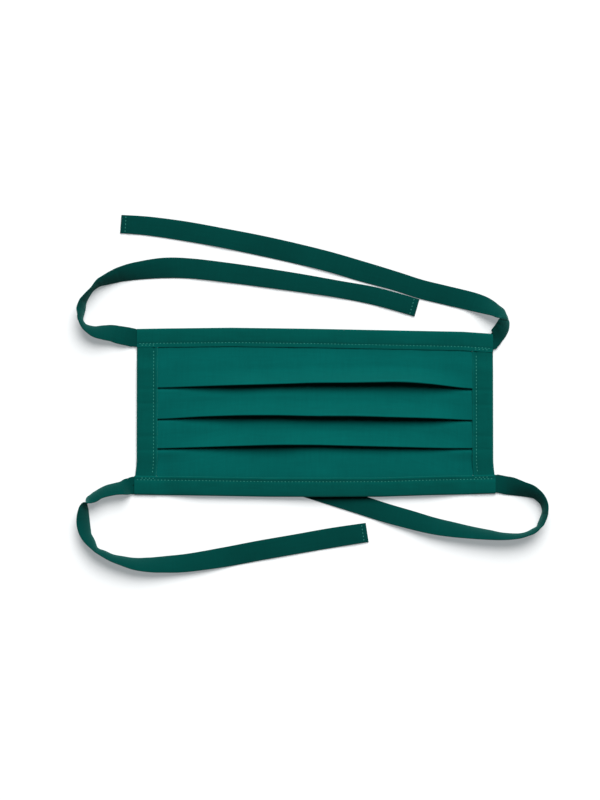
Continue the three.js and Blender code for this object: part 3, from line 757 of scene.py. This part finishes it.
def panel_section(layers, x, edges, opens):
    """The panel's section at x from its top edge down: middle points and the painted highlight on its
    folds.
    """
    slack = 2 * CLEARANCE
    if abs(x) > NOTCH:
        start = edge_at(TOP_EDGE, x) - BAND_WIDTH - slack / 2
        end = edge_at(BOTTOM_EDGE, x) + BAND_WIDTH + slack / 2
    else:
        start = edge_at(TOP_EDGE, x) - BAND_WIDTH + BAND_GRIP
        end = edge_at(BOTTOM_EDGE, x) + BAND_WIDTH - BAND_GRIP
    high = 2 * layers.step
    radius = layers.step / 2
    pressed = 1.2 * layers.step * ease(abs(x), 60, 82)
    above = edge_at(TOP_EDGE, x)
    points = [(start, 0)]
    highlight_mask = [0]
    low_from = above - BAND_WIDTH - slack
    for edge, opening in zip(edges, opens):
        top = edge + PLEAT_DEPTH + RISE_MARGIN
        for share in np.linspace(0, 1, 12) ** 1.5:
            y = low_from + share * (top - low_from)
            rest = pressed * ease(above - y, 0, 1.5) * (above < PLEAT_TOP)
            points.append((y, rest + (high - rest) * ease(share, 0, 1)))
        above = low_from = edge - layers.wall
        folded = edge + layers.wall / 2 + radius
        hidden = edge + PLEAT_DEPTH - layers.wall / 2 - radius
        for share in np.linspace(0, 1, 8)[1:-1]:
            rise = opening * share ** 1.4
            points.append((top + share * (folded - top), high + rise))
        highlight_mask += [0] * (len(points) - len(highlight_mask))
        points += half_turn(folded, high + opening - radius, radius, 90, 180)
        # Painted highlight over the round of the folded edge.
        highlight_mask += [0.5, 1, 1, 1, 0.5, 0, 0]
        for share in (0.3, 0.65):
            points.append((
                folded + share * (hidden - folded),
                2 * radius + (high + opening - 4 * radius) * (1 - share) ** 1.3))
        points += half_turn(hidden, radius, radius, 90, -180)
        points += [(edge + PLEAT_DEPTH * share, 0) for share in (0.75, 0.5, 0.25)]
    final = edge_at(BOTTOM_EDGE, x) + BAND_WIDTH + slack
    for share in np.linspace(0, 1, 14) ** 1.5:
        y = low_from + share * (final - low_from)
        points.append((y, pressed * ease(above - y, 0, 1.5) * ease(y, -27, -21)))
    points.append((end, 0))
    highlight_mask += [0] * (len(points) - len(highlight_mask))
    return np.array([(x, y, z) for y, z in points]), np.array(highlight_mask)


class MASK_OT_panel(bpy.types.Operator):
    """Makes the pleated face panel"""
    bl_idname = "mask.panel"
    bl_label = "Pleated panel"

    def execute(self, context):
        scene = context.scene
        layers = Layers(scene.mask_sizes)
        places = columns_between(PANEL_HALF)
        edges = [table_at(rows, 1, places) for rows in PLEATS]
        opens = [table_at(rows, 2, places) * layers.opening for rows in PLEATS]
        sections = [
            panel_section(layers, x, [e[at] for e in edges], [o[at] for o in opens])
            for at, x in enumerate(places)]
        grid = np.stack([points for points, _ in sections])
        grid[..., 0] = stretched(grid[..., 0])
        highlight_mask = np.stack([fold for _, fold in sections])
        grid[..., 2] += layers.slot + layers.panel_lift(grid[..., 0], grid[..., 1])
        inner = 1 - ease(np.abs(grid[..., 0]), 66, 84)
        inner = inner * ease(34 - np.abs(grid[..., 1]), 0, 6)
        grid[..., 2] += 0.22 * inner * ripple(grid[..., :2] * (0.5, 1), 14, 21)
        material = shared("dyed plain-woven cotton", dyed_cotton, scene.mask_colours.panel, 0.2)
        obj = cloth_sheet("panel_cloth", grid, highlight_mask, scene.mask_sizes.cloth, material)
        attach(obj, "root")
        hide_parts("body_panel")
        return {"FINISHED"}


def groove(inset, width):
    """The dip that a seam draws into a folded strip of that width, at each inset."""
    return -SEAM_DEPTH * np.exp(-((inset - width + SEAM_FROM_INNER) / SEAM_HALF) ** 2)


def folded_strip(width, back, front, wall):
    """The section of a strip folded round an edge: insets from the edge, heights, and where a highlight
    is painted.
    """
    radius = (front - back) / 2
    bend = half_turn(wall / 2 + radius, back + radius, radius, -90, -180, steps=8)
    insets = [width, width - 2, width / 2, 2.4]
    heights = [back] * len(insets)
    insets += [inset for inset, _ in bend]
    heights += [height for _, height in bend]
    over = np.array([2.0, 3.2, 4.5, 5.6, 6.5, 7.1, 7.5, 7.8, 8.1, 8.4, 8.7, 9.1, 9.5, 9.8])
    over = over + (width - BAND_WIDTH) * ease(over, 2, 7)
    crowned = 0.18 * np.sin(math.pi * np.clip(over / (width - SEAM_FROM_INNER), 0, 1))
    insets += list(over)
    heights += list(front + crowned + groove(over, width))
    insets += [width, width, width - 0.12]
    heights += [front - 0.04, front - LIP * 0.6, front - LIP]
    highlight_mask = np.zeros(len(insets))
    # Painted highlight over the bend round the edge and along the curled lip.
    highlight_mask[6:11] = 0.7
    highlight_mask[-4:] = 1
    return np.array(insets), np.array(heights), highlight_mask


def hem_front(layers, y, edges):
    """Middle height of a hem's front: high over the pleats' layers, and low between them."""
    first = edges[0] + PLEAT_DEPTH + RISE_MARGIN
    last = edges[-1] - RISE_MARGIN
    over = (1 - ease(y, first, first + 9)) * ease(y, last - 13, last)
    creases = (edges[0] - 0.6, edges[1] + 8.4, edges[2] + 6.6, edges[2] - 0.8)
    dips = sum(np.exp(-((y - crease) / 0.9) ** 2) for crease in creases)
    return layers.front + (2 * layers.step + AIR) * over - CREASE_DEPTH * dips


class MASK_OT_hems(bpy.types.Operator):
    """Makes the two side hems and their seams"""
    bl_idname = "mask.hems"
    bl_label = "Side hems"

    def execute(self, context):
        scene = context.scene
        layers = Layers(scene.mask_sizes)
        for name, side in (("left", -1), ("right", 1)):
            low = edge_at(BOTTOM_EDGE, side * BODY_HALF) + BAND_WIDTH - HEM_TUCK
            high = edge_at(TOP_EDGE, side * BODY_HALF) - BAND_WIDTH + HEM_TUCK
            ys = np.linspace(low, high, 90)
            edges = [rows[0][1] if side < 0 else rows[-1][1] for rows in PLEATS]
            rows, highlight_mask = [], []
            for y, front in zip(ys, hem_front(layers, ys, edges)):
                insets, heights, fold = folded_strip(HEM_WIDTH, layers.back, front, layers.wall)
                x = side * (side_edge(y) - insets)
                rows.append(np.stack([x, np.full_like(x, y), heights], 1))
                highlight_mask.append(fold)
            grid = np.stack(rows)
            for edge, near in (
                    (TOP_EDGE, ease(grid[..., 1], high - HEM_END, high)),
                    (BOTTOM_EDGE, 1 - ease(grid[..., 1], low, low + HEM_END))):
                # The ends run along the bands, which slope.
                slope = edge_at(edge, grid[..., 0]) - edge_at(edge, side * BODY_HALF)
                grid[..., 1] += slope * near
            grid[..., 0] = stretched(grid[..., 0])
            upper = ease(grid[..., 2], layers.slot, layers.front)
            grid[..., 2] += 0.07 * upper * ripple(grid[..., :2] * (1, 0.6), 3, 31 + side)
            obj = cloth_sheet(
                f"hem_{name}_cloth", grid, np.stack(highlight_mask), scene.mask_sizes.cloth,
                binding_cotton(scene))
            line_y = np.linspace(low + 1.8, high - 1.8, 40)
            line_x = stretched(side * (side_edge(line_y) - HEM_WIDTH + SEAM_FROM_INNER))
            stitches = seam(
                "stitches_hem_" + name, [np.stack([line_x, line_y], 1)], obj, scene)
            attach(obj, "root")
            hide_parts("side_hem_" + name)
        return {"FINISHED"}


class MASK_OT_bands(bpy.types.Operator):
    """Makes the bands along the top and bottom edges, and their seams"""
    bl_idname = "mask.bands"
    bl_label = "Bands"

    def execute(self, context):
        scene = context.scene
        layers = Layers(scene.mask_sizes)
        for name, table, inward in (("top", TOP_EDGE, -1), ("bottom", BOTTOM_EDGE, 1)):
            half = side_edge(inward * -BODY_HALF)
            places = columns_between(half)
            corner = ease(np.abs(places), 82.5, 86.5)
            seam_dips = np.exp(-((np.abs(places) - 84.3) / 0.8) ** 2)
            rows, highlight_mask, uppers = [], [], []
            for x, raised, dip in zip(places, corner, seam_dips):
                front = layers.front + raised * (layers.tape_front - layers.front)
                insets, heights, fold = folded_strip(BAND_WIDTH, layers.back, front, layers.wall)
                y = edge_at(table, x) + inward * insets
                upper = ease(heights, layers.slot, layers.front)
                heights = heights + (0.12 * raised - CREASE_DEPTH * dip) * upper
                if inward > 0:
                    heights = heights + layers.arch_at(x) + layers.tilt_at(x, insets)
                rows.append(np.stack([np.full_like(y, x), y, heights], 1))
                highlight_mask.append(fold)
                uppers.append(upper)
            grid = np.stack(rows)
            grid[..., 0] = stretched(grid[..., 0])
            upper = np.stack(uppers)
            grid[..., 2] += 0.07 * upper * ripple(grid[..., :2] * (0.6, 1), 3, 41 + inward)
            grid[..., 2] += 0.12 * upper * ripple(grid[..., :2] * (0.4, 1), 9, 51 + inward)
            obj = cloth_sheet(
                f"band_{name}_cloth", grid, np.stack(highlight_mask), scene.mask_sizes.cloth,
                binding_cotton(scene))
            line_x = np.linspace(-half + 0.8, half - 0.8, 160)
            line_y = edge_at(table, line_x) + inward * (BAND_WIDTH - SEAM_FROM_INNER)
            lines = [np.stack([line_x, line_y], 1)]
            for side in (-1, 1):
                tack = side * np.array([86, 94])
                lines.append(np.stack([
                    tack, edge_at(table, tack) + inward * (BAND_WIDTH - SEAM_FROM_INNER + 0.9)], 1))
            stitches = seam("stitches_band_" + name, lines, obj, scene, proud=-0.15)
            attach(obj, "root")
            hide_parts(name + "_band")
        return {"FINISHED"}


class MASK_OT_stage(bpy.types.Operator):
    """Makes the floor and the light"""
    bl_idname = "mask.stage"
    bl_label = "Floor and light"

    def execute(self, context):
        scene = context.scene
        stage = scene.mask_stage
        bpy.ops.object.select_all(action="DESELECT")
        bpy.ops.mesh.primitive_plane_add(size=30)
        floor = context.object
        floor.name = "floor"
        floor.data.materials.append(
            shared("matt white painted board", painted_board, scene.mask_colours.floor))

        light = bpy.data.lights.new("key", "SUN")
        light.energy = stage.key
        light.angle = stage.key_softness
        key = bpy.data.objects.new("key", light)
        scene.collection.objects.link(key)
        flat = math.cos(stage.key_elevation)
        towards = Vector((
            flat * math.sin(stage.key_turn), flat * math.cos(stage.key_turn),
            math.sin(stage.key_elevation)))
        key.rotation_euler = towards.to_track_quat("Z", "Y").to_euler()

        # The camera sees a white surround, which lights the mask only a little.
        world = bpy.data.worlds.new("surround")
        world.use_nodes = True
        tree = world.node_tree
        tree.nodes.clear()
        fill = add(tree, "ShaderNodeBackground", {"Color": (1, 1, 1, 1), "Strength": stage.fill})
        seen = add(tree, "ShaderNodeBackground", {"Color": (1, 1, 1, 1), "Strength": 1.0})
        path = add(tree, "ShaderNodeLightPath")
        mix = add(tree, "ShaderNodeMixShader", {
            0: path.outputs["Is Camera Ray"], 1: fill.outputs[0], 2: seen.outputs[0]})
        add(tree, "ShaderNodeOutputWorld", {"Surface": mix.outputs[0]})
        scene.world = world
        scene.view_settings.view_transform = "Standard"
        return {"FINISHED"}


class MASK_PT_build(bpy.types.Panel):
    """Lists the steps that build the mask"""
    bl_idname = "MASK_PT_build"
    bl_label = "Cloth face mask"
    bl_space_type = "VIEW_3D"
    bl_region_type = "UI"
    bl_category = "Mask"

    def draw(self, context):
        for step in STEPS:
            self.layout.operator(step.bl_idname)
        for group in (context.scene.mask_sizes, context.scene.mask_colours,
                      context.scene.mask_stage):
            box = self.layout.box()
            for name in group.bl_rna.properties.keys():
                if name not in ("rna_type", "name"):
                    box.prop(group, name)


STEPS = (MASK_OT_camera, MASK_OT_ties, MASK_OT_panel, MASK_OT_hems, MASK_OT_bands, MASK_OT_stage)
GROUPS = {"mask_sizes": MaskSizes, "mask_colours": MaskColours, "mask_stage": MaskStage}


def register():
    for cls in (*GROUPS.values(), *STEPS, MASK_PT_build):
        bpy.utils.register_class(cls)
    for name, cls in GROUPS.items():
        setattr(bpy.types.Scene, name, PointerProperty(type=cls))


def unregister():
    for name in GROUPS:
        delattr(bpy.types.Scene, name)
    for cls in (MASK_PT_build, *reversed(STEPS), *reversed(GROUPS.values())):
        bpy.utils.unregister_class(cls)


def main():
    register()
    bpy.ops.mask.camera()
    bpy.ops.mask.ties()
    bpy.ops.mask.panel()
    bpy.ops.mask.hems()
    bpy.ops.mask.bands()
    bpy.ops.mask.stage()


if __name__ == "__main__":
    main()
